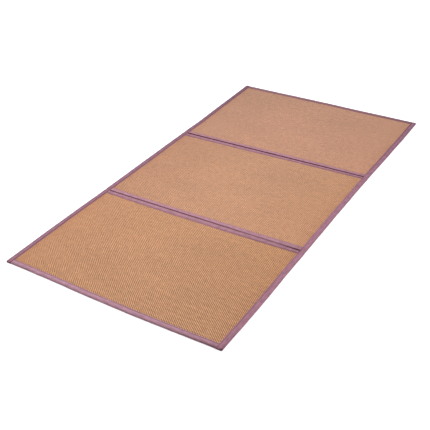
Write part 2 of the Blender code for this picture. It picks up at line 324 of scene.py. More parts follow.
# How much wider than its straight form each half of the front fold tape and of the back one
# is, by place across the mat
WiderRow = namedtuple("WiderRow", "place front_near front_far back_near back_far")
WIDER_ROWS = (
    WiderRow(-0.475, -0.0015, -0.0005, 0.0002, -0.0030),
    WiderRow(-0.300, 0.0016, -0.0030, 0.0005, -0.0019),
    WiderRow(-0.150, 0.0031, -0.0035, 0.0003, -0.0005),
    WiderRow(0.000, 0.0025, -0.0019, -0.0025, 0.0003),
    WiderRow(0.150, 0.0020, -0.0010, -0.0042, 0.0004),
    WiderRow(0.300, -0.0003, 0.0000, -0.0054, -0.0022),
    WiderRow(0.475, -0.0040, 0.0025, -0.0058, -0.0033),
)
# A tape's extra width grows from nothing at WIDER_START inside its line to all of it at the
# tape's rim, and the rush takes it up by WIDER_END
WIDER_START = 0.0060
WIDER_END = 0.1000
# The panel's upper face by distance past the tape's rim, and how much of the weave's
# relief shows there
RiseRow = namedtuple("RiseRow", "place height relief")
RISE_ROWS = (
    RiseRow(-0.0010, 0.0042, 0.25),
    RiseRow(0.0005, 0.0046, 0.60),
    RiseRow(0.0030, 0.0056, 1.00),
    RiseRow(0.0075, 0.0060, 1.00),
)
# The underside inside a panel's edge: flat under the tape, then down a short slope
Border = namedtuple("Border", "width drop")
UNDERSIDE_BORDERS = (Border(0.0235, 0.0), Border(0.0025, 0.00105), Border(0.0045, 0.00045))
# Slow wandering of the strands: cycles for each metre across and along, phase, and size.
# It grows from nothing at the tape's rim to its full size SWAY_FADE inside it.
Sway = namedtuple("Sway", "across along phase size")
SWAYS = (
    Sway(2.1, 3.3, 0.4, 0.0011),
    Sway(5.7, -4.2, 1.9, 0.0007),
    Sway(-9.3, 7.7, 3.1, 0.0004),
    Sway(14.9, 11.3, 5.2, 0.00022),
)
SWAY_FADE = 0.050


def column_of(rows, name):
    """One column of a table, as an array."""
    return np.array([getattr(row, name) for row in rows])


def read_rows(rows, column, places):
    """Read a column of a table at many places, on a smooth curve through its rows."""
    known = column_of(rows, "place")
    values = column_of(rows, column)
    after = np.minimum(np.arange(len(rows)) + 1, len(rows) - 1)
    before = np.maximum(np.arange(len(rows)) - 1, 0)
    slopes = (values[after] - values[before]) / (known[after] - known[before])
    places = np.clip(places, known[0], known[-1])
    row = np.clip(np.searchsorted(known, places, side="right") - 1, 0, len(rows) - 2)
    span = known[row + 1] - known[row]
    t = (places - known[row]) / span
    return (values[row] * (2 * t**3 - 3 * t**2 + 1) + values[row + 1] * (3 * t**2 - 2 * t**3)
            + span * slopes[row] * (t**3 - 2 * t**2 + t)
            + span * slopes[row + 1] * (t**3 - t**2))


def share_of_wider(inside, width):
    """Share of a tape's extra width that reaches points, by distance inside its line."""
    return np.maximum(0.0, np.minimum((inside - WIDER_START) / (width - WIDER_START),
                                      (WIDER_END - inside) / (WIDER_END - width)))


def lay_out(points):
    """Move points of the straight, square mat to their places on the mat as it lies."""
    x, y, z = points.T

    # The four corners are rounded
    into_x = np.abs(x) - (MAT_WIDTH / 2 - CORNER_RADIUS)
    into_y = np.abs(y) - (MAT_LENGTH / 2 - CORNER_RADIUS)
    at_corner = (into_x > 0) & (into_y > 0)
    reach = np.where(at_corner, np.hypot(into_x, into_y), 1.0)
    shrink = np.where(at_corner, 1 - np.maximum(into_x, into_y) / reach, 0.0)
    x = x - np.sign(x) * into_x * shrink
    y = y - np.sign(y) * into_y * shrink

    # The tapes are wider in some places than in others
    wide_x = x + (read_rows(SIDE_ROWS, "left_wider", y)
                  * share_of_wider(x + MAT_WIDTH / 2, TAPE_WIDTH))
    for fold, near, far in ((FRONT_FOLD, "front_near", "front_far"),
                            (BACK_FOLD, "back_near", "back_far")):
        y = y + (read_rows(WIDER_ROWS, far, x) * share_of_wider(y - fold, FOLD_TAPE_FAR_WIDTH)
                 - read_rows(WIDER_ROWS, near, x)
                 * share_of_wider(fold - y, FOLD_TAPE_NEAR_WIDTH))
    x = wide_x

    # The long sides bend, the ends bow out, and the lines across are out of square
    side_out = np.where(x < 0, read_rows(SIDE_ROWS, "left_out", y),
                        read_rows(SIDE_ROWS, "right_out", y))
    towards_front = np.maximum(0.0, (FRONT_FOLD - y) / (FRONT_FOLD + MAT_LENGTH / 2))
    towards_back = np.maximum(0.0, (y - BACK_FOLD) / (MAT_LENGTH / 2 - BACK_FOLD))
    laid_x = x * (1 + side_out / (MAT_WIDTH / 2))
    laid_y = (y - read_rows(BOW_ROWS, "front_out", x) * towards_front
              + read_rows(BOW_ROWS, "back_out", x) * towards_back
              + read_rows(SKEW_ROWS, "skew", y) * x)
    return np.stack([laid_x + MAT_SHIFT[0], laid_y + MAT_SHIFT[1], z], axis=1)


def points_of(piece):
    """The points of a piece's mesh, one row each."""
    flat = np.empty(len(piece.data.vertices) * 3)
    piece.data.vertices.foreach_get("co", flat)
    return flat.reshape(-1, 3)


def move_points(piece, points):
    piece.data.vertices.foreach_set("co", points.ravel())
    piece.data.update()


def place_on_sheet(sums):
    """The place on a piece's flat sheet, from 0 to 1 each way, from its UV map."""
    flat = sums.add("SeparateXYZ", (), {"Vector": sums.add("TexCoord", output="UV")})
    return flat, flat.other("Y")


def rush_finish(name, columns, rows, look):
    """Dry split rush, woven over and under, with one strand on top in each crossing."""
    material, shader, sums = new_finish(name)
    from_left, from_front = place_on_sheet(sums)
    across, along = from_left * columns, from_front * rows
    column, row = across.floor(), along.floor()
    warp_over = (column + row) % 2.0
    off_x, off_y = abs(across - column - 0.5), abs(along - row - 0.5)
    off_middle = warp_over.between(off_y, off_x)
    to_end = warp_over.between(off_x, off_y)

    # Fibres run along whichever strand is on top
    fibre_spot = sums.add("CombineXYZ", (), {
        "X": across * warp_over.between(FIBRES_ALONG, FIBRES_ACROSS),
        "Y": along * warp_over.between(FIBRES_ACROSS, FIBRES_ALONG),
        "Z": (column + row * 1.7) * 0.37})
    fibre = sums.add("TexNoise", (), {"Vector": fibre_spot, "Scale": 1.0, "Detail": 2.0})
    strand = sums.add("TexWhiteNoise", {"noise_dimensions": "1D"},
                      {"W": warp_over.between(row, column + 1000.0)})
    crossing = sums.add("TexWhiteNoise", {"noise_dimensions": "2D"}, {
        "Vector": sums.add("CombineXYZ", (), {"X": column, "Y": row})})

    # The weave's clumps are about 7 crossings in size, its unevenness 4, and its mottle 40
    clump = sums.clouds(across * 0.16, along * 0.13, 1.0)
    uneven = sums.clouds(across * 0.26, along * 0.24, 1.0)
    mottle = sums.clouds(across * 0.02, along * 0.035, 3.0)

    # The strands across are lighter than those along, more in some clumps than in others: this
    # is painted light and shade of the weave's relief
    contrast = from_left.between(look.left_contrast, look.right_contrast)
    contrast = contrast * clump.rise(0.36, 0.64).between(0.10, 1.80)
    lightness = 0.5 + (0.5 - warp_over) * contrast + (fibre - 0.5) * FIBRE_TONE
    strands = lightness.colour(SHADED_STRAND, LIT_STRAND)

    # The straw's colour changes from side to side with a painted falloff of the light, and
    # beside the tapes with painted shade
    left_part = from_left.rise(0.0, 0.5).colour(look.left_straw, look.middle_straw)
    straw = from_left.rise(0.5, 1.0).colour(left_part, look.right_straw)
    # Painted shade darkens and warms the straw beside the side tapes
    shaded_by_tapes = abs(from_left * 2.0 - 1.0).rise(0.83, 0.95)
    straw = shaded_by_tapes.colour(straw, straw.tinted(STRAW_SHADE_BY_TAPES))

    # Painted shade darkens the crevices between the strands
    crevice = off_middle.rise(0.33, 0.50) * 0.55 + to_end.rise(0.36, 0.50) * 0.45
    crevice = crevice.at_most(0.8)
    # A painted falloff of light darkens the straw towards the back end
    tone = (1.0 + (strand - 0.5) * STRAND_TONE + (crossing - 0.5) * CROSSING_TONE
            + (uneven - 0.5) * UNEVEN_TONE + (mottle - 0.5) * MOTTLE_TONE
            + (0.5 - from_front) * look.fall) * (1.0 - crevice * CREVICE_SHADE)
    roundness = 1.0 - off_middle * off_middle * 3.4
    relief = roundness * 0.75 + fibre * 0.30
    feed(shader, Base_Color=strands.tinted(straw).times(tone), Normal=relief.bumps(0.55, 0.0005),
         Roughness=0.42 + crevice * 0.30 + fibre * 0.10, Specular_IOR_Level=0.40)
    return material


def woven_sheet(name, left, right, front, back, columns, rows):
    """A flat sheet with a point in each crossing, and how many points its upper face has.

    Its edge turns down, and its underside is flat inside a sloping border.
    """
    middle = ((left + right) / 2, (front + back) / 2, 0.0)
    bpy.ops.object.select_all(action="DESELECT")
    bpy.ops.mesh.primitive_grid_add(x_subdivisions=columns, y_subdivisions=rows, size=1)
    sheet = bpy.context.object
    sheet.name = name
    bpy.ops.object.mode_set(mode="EDIT")
    bpy.ops.transform.resize(value=(right - left, back - front, 1.0))
    bpy.ops.transform.translate(value=middle)
    bpy.ops.mesh.poke()
    bpy.ops.object.mode_set(mode="OBJECT")
    upper_count = len(sheet.data.vertices)

    bpy.ops.object.mode_set(mode="EDIT")
    bpy.ops.mesh.select_mode(type="EDGE")
    bpy.ops.mesh.select_all(action="DESELECT")
    bpy.ops.mesh.select_non_manifold(extend=False, use_wire=False, use_multi_face=False,
                                     use_non_contiguous=False, use_verts=False)
    bpy.ops.mesh.extrude_edges_move(TRANSFORM_OT_translate={"value": (0.0, 0.0, PINCHED_UNDER)})
    bpy.ops.mesh.edge_face_add()
    for border in UNDERSIDE_BORDERS:
        bpy.ops.mesh.extrude_region_move(TRANSFORM_OT_translate={"value": (0, 0, -border.drop)})
        bpy.ops.transform.resize(value=(1 - 2 * border.width / (right - left),
                                        1 - 2 * border.width / (back - front), 1.0),
                                 center_override=middle)
    bpy.ops.object.mode_set(mode="OBJECT")
    return sheet, upper_count


def map_sheet(sheet, across, along):
    """Keep each point's place on the flat sheet, from 0 to 1 each way, as its UV map."""
    corner_of = np.empty(len(sheet.data.loops), dtype=int)
    sheet.data.loops.foreach_get("vertex_index", corner_of)
    sheet.data.uv_layers.active.data.foreach_set(
        "uv", np.stack([across[corner_of], along[corner_of]], axis=1).ravel())


def weave_height(cell_x, cell_y):
    """The weave's height at the upper face's points, whose places are counted in crossings."""
    is_peak = np.abs(cell_x - np.round(cell_x)) > 0.25
    warp_over = (np.floor(cell_x) + np.floor(cell_y)) % 2
    return np.where(is_peak, np.where(warp_over, WARP_OVER_HIGH, WEFT_OVER_HIGH), CROSSING_LOW)


# A panel's straw at its left side, middle and right side, which carry a painted falloff of
# light and grow paler and bluer towards the back panel as painted sheen, how far its two sets
# of strands differ at its sides, as painted shade, and how much the straw darkens from the
# front end to the back end, as a painted falloff of light
RushLook = namedtuple("RushLook", "left_straw middle_straw right_straw left_contrast "
                                  "right_contrast fall")
# The line that a panel starts from, how far short of it its edge is and how wide the tape
# over it is, and the same for the line that it ends at
PanelRow = namedtuple("PanelRow", "name front front_short front_tape back back_short back_tape "
                                  "look")
PANEL_ROWS = (
    PanelRow("panel_front", -MAT_LENGTH / 2, OUTER_EDGE_SHORT, TAPE_WIDTH,
             FRONT_FOLD, HINGE_EDGE_SHORT, FOLD_TAPE_NEAR_WIDTH,
             RushLook((0.506, 0.218, 0.0855), (0.485, 0.213, 0.082),
                      (0.438, 0.185, 0.065), 0.25, 3.50, 0.00)),
    PanelRow("panel_middle", FRONT_FOLD, HINGE_EDGE_SHORT, FOLD_TAPE_FAR_WIDTH,
             BACK_FOLD, HINGE_EDGE_SHORT, FOLD_TAPE_NEAR_WIDTH,
             RushLook((0.467, 0.204, 0.091), (0.488, 0.221, 0.098),
                      (0.467, 0.204, 0.084), 0.52, 0.80, 0.07)),
    PanelRow("panel_back", BACK_FOLD, HINGE_EDGE_SHORT, FOLD_TAPE_FAR_WIDTH,
             MAT_LENGTH / 2, OUTER_EDGE_SHORT, TAPE_WIDTH,
             RushLook((0.458, 0.207, 0.101), (0.482, 0.215, 0.105),
                      (0.468, 0.204, 0.098), 0.80, 0.80, 0.065)),
)
for table in PANEL_ROWS:
    left, right = -MAT_WIDTH / 2 + OUTER_EDGE_SHORT, MAT_WIDTH / 2 - OUTER_EDGE_SHORT
    front, back = table.front + table.front_short, table.back - table.back_short
    columns = round((right - left) / STRAND_ACROSS)
    rows = round((back - front) / STRAND_ALONG)
    panel, upper_count = woven_sheet("woven_" + table.name, left, right, front, back,
                                     columns, rows)
    points = points_of(panel)
    across = (points[:, 0] - left) / (right - left)
    along = (points[:, 1] - front) / (back - front)
    map_sheet(panel, across, along)

    # The upper face rises from under the tapes and has a small peak in each crossing
    upper = np.arange(len(points)) < upper_count
    past_rim = np.minimum.reduce([
        points[:, 0] + MAT_WIDTH / 2 - TAPE_WIDTH, MAT_WIDTH / 2 - TAPE_WIDTH - points[:, 0],
        points[:, 1] - table.front - table.front_tape,
        table.back - table.back_tape - points[:, 1]])
    height = (read_rows(RISE_ROWS, "height", past_rim)
              + weave_height(across * columns, along * rows)
              * read_rows(RISE_ROWS, "relief", past_rim))
    points[:, 2] = np.where(upper, height, points[:, 2])

    # Its strands wander, each wave a little out of step across and along
    inside = upper * np.clip(past_rim / SWAY_FADE, 0.0, 1.0)
    for sway in SWAYS:
        turn = 2 * pi * (sway.across * points[:, 0] + sway.along * points[:, 1]) + sway.phase
        points[:, 0] += inside * sway.size * np.sin(turn)
        points[:, 1] += inside * sway.size * np.cos(turn * 0.9 + 1.0)
    move_points(panel, lay_out(points))
    bpy.ops.object.shade_smooth_by_angle(angle=radians(45))

    panel.data.materials.append(rush_finish("rush of " + table.name, columns, rows, table.look))
    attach(panel, "root")
    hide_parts(table.name)
    back - front


# ---- The side tapes ----
# Each is one strip of mauve cotton that runs the whole length of the mat, past both folds.
# It is folded over the panels' edges, and sewn down in a groove near its inner edges.

# The strip's flat width, the distance between its rings of points and how far from its ends
# they are evenly spaced, and how near its two long edges' points are when they are joined
SIDE_TAPE_FLAT = 0.056
TAPE_RING_SPACING = 0.0030
EVEN_RINGS_START = 0.0050
JOINED_WITHIN = 0.00001

# The height above which a section's points are on its upper face, the height of a slot's
# floor, how high its points reach up the rim where it is shut, and how near a side tape's
# ends it is shut
UPPER_CLOTH = 0.0048
SLOT_LOW = 0.0012
SHUT_RIM = 0.0044
SLOT_ENDS = 0.00205

# Where a side tape passes a fold: half the length of the dip, how far it sinks there, and how
# far its outer edge draws in, which reaches only a little way inward
CROSSING_HALF = 0.0090
CROSSING_SINK = 0.0014
CROSSING_DRAW = 0.0012
CROSSING_DRAW_REACH = 0.0070

# Section of a tape over its slot: distance in from the outer edge, height, how much painted
# shade it takes in the seam's groove and on the outer edge down to the floor, and 1 where the
# point is in the slot that holds the panel
TapeRow = namedtuple("TapeRow", "inward height seam edge slot")
SIDE_TAPE_ROWS = (
    TapeRow(0.0250, 0.0047, 0.0, 0.0, 1),
    TapeRow(0.0250, 0.0053, 0.0, 0.0, 0),
    TapeRow(0.0246, 0.0058, 0.1, 0.0, 0),
    TapeRow(0.0238, 0.0060, 0.2, 0.0, 0),
    TapeRow(0.0226, 0.0060, 0.4, 0.0, 0),
    TapeRow(0.0215, 0.0057, 0.6, 0.0, 0),
    TapeRow(0.0205, 0.0050, 1.0, 0.0, 0),
    TapeRow(0.0195, 0.0057, 0.6, 0.0, 0),
    TapeRow(0.0184, 0.0062, 0.1, 0.0, 0),
    TapeRow(0.0165, 0.0065, 0.0, 0.0, 0),
    TapeRow(0.0135, 0.0067, 0.0, 0.0, 0),
    TapeRow(0.0100, 0.0068, 0.0, 0.2, 0),
    TapeRow(0.0068, 0.0067, 0.0, 0.5, 0),
    TapeRow(0.0042, 0.0065, 0.0, 0.9, 0),
    TapeRow(0.0024, 0.0060, 0.0, 1.0, 0),
    TapeRow(0.0010, 0.0051, 0.0, 1.0, 0),
    TapeRow(0.0002, 0.0040, 0.0, 1.0, 0),
    TapeRow(0.0001, 0.0027, 0.0, 1.0, 0),
    TapeRow(0.0007, 0.0015, 0.0, 1.0, 0),
    TapeRow(0.0019, 0.0005, 0.0, 0.6, 0),
    TapeRow(0.0036, 0.0000, 0.0, 0.0, 0),
    TapeRow(0.0110, 0.0000, 0.0, 0.0, 0),
    TapeRow(0.0193, 0.0000, 0.2, 0.0, 0),
    TapeRow(0.0205, 0.0006, 1.0, 0.0, 0),
    TapeRow(0.0217, 0.0000, 0.2, 0.0, 0),
    TapeRow(0.0244, 0.0000, 0.0, 0.0, 0),
    TapeRow(0.0250, 0.0005, 0.0, 0.0, 0),
    TapeRow(0.0250, 0.0012, 0.0, 0.0, 1),
    TapeRow(0.0130, 0.0012, 0.0, 0.0, 1),
    TapeRow(0.0020, 0.0012, 0.0, 0.0, 1),
    TapeRow(0.0020, 0.0047, 0.0, 0.0, 1),
    TapeRow(0.0130, 0.0047, 0.0, 0.0, 1),
)
# A side tape's end rolls in: its share of the height above or below TAPE_END_LEVEL, by
# distance from the end
EndRow = namedtuple("EndRow", "place share")
TAPE_END_ROWS = (
    EndRow(0.0, 0.42),
    EndRow(0.0004, 0.70),
    EndRow(0.0011, 0.90),
    EndRow(0.0020, 1.00),
    EndRow(0.0021, 1.00),
)
TAPE_END_LEVEL = 0.0030
# How much painted shade darkens each side tape's seam and its outer edge, by place along the
# mat. The painted shade of its very ends reaches END_SHADE_REACH in.
SideShadeRow = namedtuple("SideShadeRow", "place left_seam left_edge right_seam right_edge")
SIDE_SHADE_ROWS = (
    SideShadeRow(-0.945, 0.95, 0.42, 0.15, 0.55),
    SideShadeRow(-0.900, 0.80, 0.37, 0.25, 0.18),
    SideShadeRow(-0.600, 0.85, 0.37, 0.30, 0.00),
    SideShadeRow(-0.352, 0.79, 0.37, 0.14, 0.00),
    SideShadeRow(-0.324, 0.79, 0.37, 0.75, 0.00),
    SideShadeRow(-0.296, 0.79, 0.37, 0.12, 0.00),
    SideShadeRow(0.000, 0.68, 0.37, 0.00, 0.00),
    SideShadeRow(0.280, 0.45, 0.37, 0.08, 0.00),
    SideShadeRow(0.311, 0.95, 0.37, 0.10, 0.00),
    SideShadeRow(0.342, 0.45, 0.37, 0.20, 0.00),
    SideShadeRow(0.420, 0.42, 0.37, 0.58, 0.00),
    SideShadeRow(0.945, 0.42, 0.42, 0.68, 0.15),
)
END_SHADE_REACH = 0.012
# Unevenness of the cloth along a tape: length of a wave, its phase, how far it moves the
# cloth in and out, and how far up and down. It moves the cloth fully in the outer part of a
# tape and by half further in, and fades out towards a side tape's ends.
Pucker = namedtuple("Pucker", "length phase sideways upwards")
PUCKERS = (
    Pucker(0.2170, 0.3, 0.00030, 0.00006),
    Pucker(0.0910, 1.7, 0.00018, 0.00008),
    Pucker(0.0370, 4.1, 0.00008, 0.00010),
    Pucker(0.0163, 2.6, 0.00004, 0.00007),
)
LOOSE_PART = 0.012
SEWN_SHARE = 0.5
PUCKER_FADE = 0.020

# What the mauve is multiplied by under the darkest painted shade, the spacing of its threads,
# and how much they, its streaks and its patches change its lightness
SHADE_MAUVE = (0.19, 0.04, 0.10)
THREAD_ACROSS_MM = 0.55
THREAD_ALONG_MM = 0.70
THREAD_TONE = 0.03
STREAK_TONE = 1.15
PATCH_TONE = 0.28


def pucker(places, phase):
    """How far the cloth moves sideways and upwards at each place along a tape."""
    turns = [(row, np.sin(2 * pi * places / row.length + row.phase + phase)) for row in PUCKERS]
    return (sum(row.sideways * wave for row, wave in turns),
            sum(row.upwards * wave for row, wave in turns))


def at_fold(places):
    """How much a side tape sinks and draws in at each place, from 0 to 1 on a fold's line."""
    from_fold = np.minimum(np.abs(places - FRONT_FOLD), np.abs(places - BACK_FOLD))
    return 0.5 + 0.5 * np.cos(pi * np.clip(from_fold / CROSSING_HALF, 0.0, 1.0))


def fold_strip(name, x, y, z, shade):
    """Fold a flat strip of cloth into a closed tape, and lay it on the mat.

    x, y, z and shade, which is how far painted shade darkens the cloth, have a row for each
    ring along the tape and a column for each point around it.
    """
    x, y, z, shade = np.broadcast_arrays(x, y, z, shade)
    rings, around = shade.shape
    bpy.ops.object.select_all(action="DESELECT")
    bpy.ops.mesh.primitive_grid_add(x_subdivisions=around, y_subdivisions=rings - 1, size=2)
    strip = bpy.context.object
    strip.name = name
    flat = points_of(strip)
    point = np.round((flat[:, 0] + 1) / 2 * around).astype(int) % around
    ring = np.round((flat[:, 1] + 1) / 2 * (rings - 1)).astype(int)
    move_points(strip, lay_out(np.stack([x, y, z], axis=2)[ring, point]))
    layer = strip.data.attributes.new("shade", "FLOAT", "POINT")
    layer.data.foreach_set("value", shade[ring, point])

    # Its two long edges are joined, its ends closed, and its faces turned outwards
    bpy.ops.object.mode_set(mode="EDIT")
    bpy.ops.mesh.select_all(action="SELECT")
    bpy.ops.mesh.remove_doubles(threshold=JOINED_WITHIN)
    bpy.ops.mesh.fill_holes(sides=0)
    bpy.ops.mesh.select_all(action="SELECT")
    bpy.ops.mesh.normals_make_consistent(inside=False)
    bpy.ops.object.mode_set(mode="OBJECT")
    bpy.ops.object.shade_smooth_by_angle(angle=radians(50))
    return strip


def cotton_finish(name, flat_width, length, start_mauve, end_mauve, middle_lighter):
    """Closely woven mauve cotton, with threads along and across the strip."""
    material, shader, sums = new_finish(name)
    share_across, share_along = place_on_sheet(sums)
    across_mm = share_across * (flat_width * 1000)
    along_mm = share_along * (length * 1000)
    threads = ((across_mm * (2 * pi / THREAD_ACROSS_MM)).sine()
               * (along_mm * (2 * pi / THREAD_ALONG_MM)).sine())
    streak = sums.clouds(across_mm * 0.22, along_mm * 0.040, 3.0)
    patch = sums.clouds(across_mm * 0.05, along_mm * 0.02, 2.0)

    # The middle of the tape is made lighter as a painted pool of light
    lightness = (1.0 + (streak - 0.5) * STREAK_TONE + (patch - 0.5) * PATCH_TONE
                 + threads * THREAD_TONE
                 + share_along * (1.0 - share_along) * (4.0 * middle_lighter))
    cloth = share_along.colour(start_mauve, end_mauve).times(lightness)
    # The painted shade kept on the tape's points darkens the cloth towards SHADE_MAUVE
    shade = sums.add("Attribute", {"attribute_name": "shade"}, output="Fac")
    relief = threads * 0.5 + streak
    feed(shader, Base_Color=shade.colour(cloth, cloth.tinted(SHADE_MAUVE)),
         Normal=relief.bumps(0.35, 0.0002), Roughness=0.75 + (streak - 0.5) * 0.2,
         Specular_IOR_Level=0.20)
    return material


side_inward, side_height, side_seam, side_edge, side_slot = (
    column_of(SIDE_TAPE_ROWS, name) for name in TapeRow._fields)
upper_cloth = side_height > UPPER_CLOTH
loose_cloth = np.where(side_inward < LOOSE_PART, 1.0, SEWN_SHARE) * (side_slot == 0)
# Near a side tape's ends its slot is shut, and the slot's points line up on its rim
slot_points = np.flatnonzero(side_slot)[1:]
shut_height = side_height.copy()
shut_height[slot_points] = np.linspace(SLOT_LOW, SHUT_RIM, len(slot_points))

end_places = column_of(TAPE_END_ROWS, "place")
even_reach = MAT_LENGTH / 2 - EVEN_RINGS_START
even_places = np.linspace(-even_reach, even_reach, round(2 * even_reach / TAPE_RING_SPACING) + 1)
side_places = np.concatenate([-MAT_LENGTH / 2 + end_places, even_places,
                              (MAT_LENGTH / 2 - end_places)[::-1]])
from_end = np.minimum(side_places - side_places[0], side_places[-1] - side_places)
rolled_share = read_rows(TAPE_END_ROWS, "share", from_end)[:, None]
slot_open = (from_end > SLOT_ENDS)[:, None]
quiet = np.clip(from_end / PUCKER_FADE, 0.0, 1.0)
sinking = at_fold(side_places)[:, None]

# Each tape's side of the mat, the phase of its puckers, its colour at its front end and at
# its back end, its columns in SIDE_SHADE_ROWS, how much painted shade darkens its two ends,
# and how much lighter its middle is, as painted light. Its colour darkens towards the back as
# a painted falloff of light, and is darker than the tapes across, whose sheen is painted into
# their lighter colour.
SideTapeRow = namedtuple("SideTapeRow", "node side phase front_mauve back_mauve seam edge "
                                        "front_end back_end middle_lighter")
SIDE_TAPES = (
    SideTapeRow("tape_left", -1, 0.0, (0.320, 0.154, 0.209), (0.210, 0.094, 0.132),
                "left_seam", "left_edge", 0.38, 0.75, 0.01),
    SideTapeRow("tape_right", 1, 2.2, (0.325, 0.152, 0.203), (0.256, 0.117, 0.170),
                "right_seam", "right_edge", 0.48, 0.85, 0.03),
)
side_tapes = []
for table in SIDE_TAPES:
    sideways, upwards = pucker(side_places, table.phase)
    inward = np.where(slot_open | (side_slot == 0), side_inward, TAPE_WIDTH)
    inward = inward + (sideways * quiet)[:, None] * loose_cloth
    inward = inward + (CROSSING_DRAW * sinking
                       * np.clip(1 - inward / CROSSING_DRAW_REACH, 0.0, 1.0))
    height = np.where(slot_open, side_height, shut_height)
    height = height + (upwards * quiet)[:, None] * upper_cloth
    height = TAPE_END_LEVEL + (height - TAPE_END_LEVEL) * rolled_share
    height = height - CROSSING_SINK * sinking * height / side_height.max()

    # Painted shade in the seam's groove, on the outer edge and at the tape's ends
    seam_shade = read_rows(SIDE_SHADE_ROWS, table.seam, side_places)[:, None] * side_seam
    edge_shade = read_rows(SIDE_SHADE_ROWS, table.edge, side_places)[:, None] * side_edge
    end_shade = (np.where(side_places < 0, table.front_end, table.back_end)
                 * np.clip(1 - from_end / END_SHADE_REACH, 0.0, 1.0))[:, None]
    tape = fold_strip("bound_" + table.node, table.side * (MAT_WIDTH / 2 - inward),
                      side_places[:, None], np.maximum(height, 0.0),
                      np.minimum(seam_shade + edge_shade + end_shade, 1.0))
    tape.data.materials.append(cotton_finish("mauve cotton of " + table.node, SIDE_TAPE_FLAT,
                                             MAT_LENGTH, table.front_mauve, table.back_mauve,
                                             table.middle_lighter))
    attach(tape, "root")
    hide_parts(table.node)
    side_tapes.append(tape)


# ---- The end tapes ----
# Two strips of the same cotton between the side tapes, one folded over the front end of the
# mat and one over its back end, and sewn down in the same way.

# The height of its crown, the gap between its ends and the side tapes, and how far it
# reaches from the mat's middle
END_TAPE_CROWN = 0.0065
SEWN_GAP = 0.0003
CROSS_HALF = MAT_WIDTH / 2 - TAPE_WIDTH - SEWN_GAP

# How much painted shade darkens each end tape's outer edge, by place across the mat
EndShadeRow = namedtuple("EndShadeRow", "place front_edge back_edge")
END_SHADE_ROWS = (
    EndShadeRow(-0.475, 0.34, 0.78),
    EndShadeRow(0.000, 0.29, 0.44),
    EndShadeRow(0.300, 0.34, 0.58),
    EndShadeRow(0.475, 0.60, 0.82),
)
# Each tape's end of the mat, the phase of its puckers, its colour at its left end and at its
# right end, how much painted shade darkens its seam, its column in END_SHADE_ROWS, and how
# much lighter its middle is, as painted light. The colours darken to the right and on the
# back tape as a painted falloff of light, and are lighter than the side tapes' as painted
# sheen.
EndTapeRow = namedtuple("EndTapeRow", "node end phase left_mauve right_mauve seam edge "
                                      "middle_lighter")
END_TAPES = (
    EndTapeRow("tape_front", -1, 1.1, (0.424, 0.232, 0.294), (0.356, 0.189, 0.238), 0.38,
               "front_edge", 0.08),
    EndTapeRow("tape_back", 1, 3.7, (0.272, 0.129, 0.161), (0.236, 0.104, 0.133), 0.00,
               "back_edge", 0.04),
)
cross_places = np.linspace(-CROSS_HALF, CROSS_HALF, round(2 * CROSS_HALF / TAPE_RING_SPACING) + 1)
end_height = np.minimum(side_height, END_TAPE_CROWN)
end_tapes = []
for table in END_TAPES:
    sideways, upwards = pucker(cross_places, table.phase)
    inward = side_inward + sideways[:, None] * loose_cloth
    height = end_height + upwards[:, None] * upper_cloth
    # Painted shade on the seam and on the outer edge
    edge_shade = read_rows(END_SHADE_ROWS, table.edge, cross_places)[:, None] * side_edge
    tape = fold_strip("bound_" + table.node, cross_places[:, None],
                      table.end * (MAT_LENGTH / 2 - inward), height,
                      side_seam * table.seam + edge_shade)
    tape.data.materials.append(cotton_finish("mauve cotton of " + table.node, SIDE_TAPE_FLAT,
                                             2 * CROSS_HALF, table.left_mauve,
                                             table.right_mauve, table.middle_lighter))
    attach(tape, "root")
    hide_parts(table.node)
    end_tapes.append(tape)


# ---- The fold tapes ----
# One strip of the same cotton at each fold takes the edges of two panels. It is sewn through
# along its middle, and that line is the hinge, which shows as a crease darkened with painted
# shade.

# The strip's flat width, the share of the puckers that is left at the hinge line and how far
# out they are full again, how far the two halves' puckers are out of step, and how much
# painted shade darkens the far seam
FOLD_TAPE_FLAT = 0.099
HINGE_SHARE = 0.3
HINGE_PART = 0.010
FAR_PHASE = 2.0
FAR_SEAM = 0.05

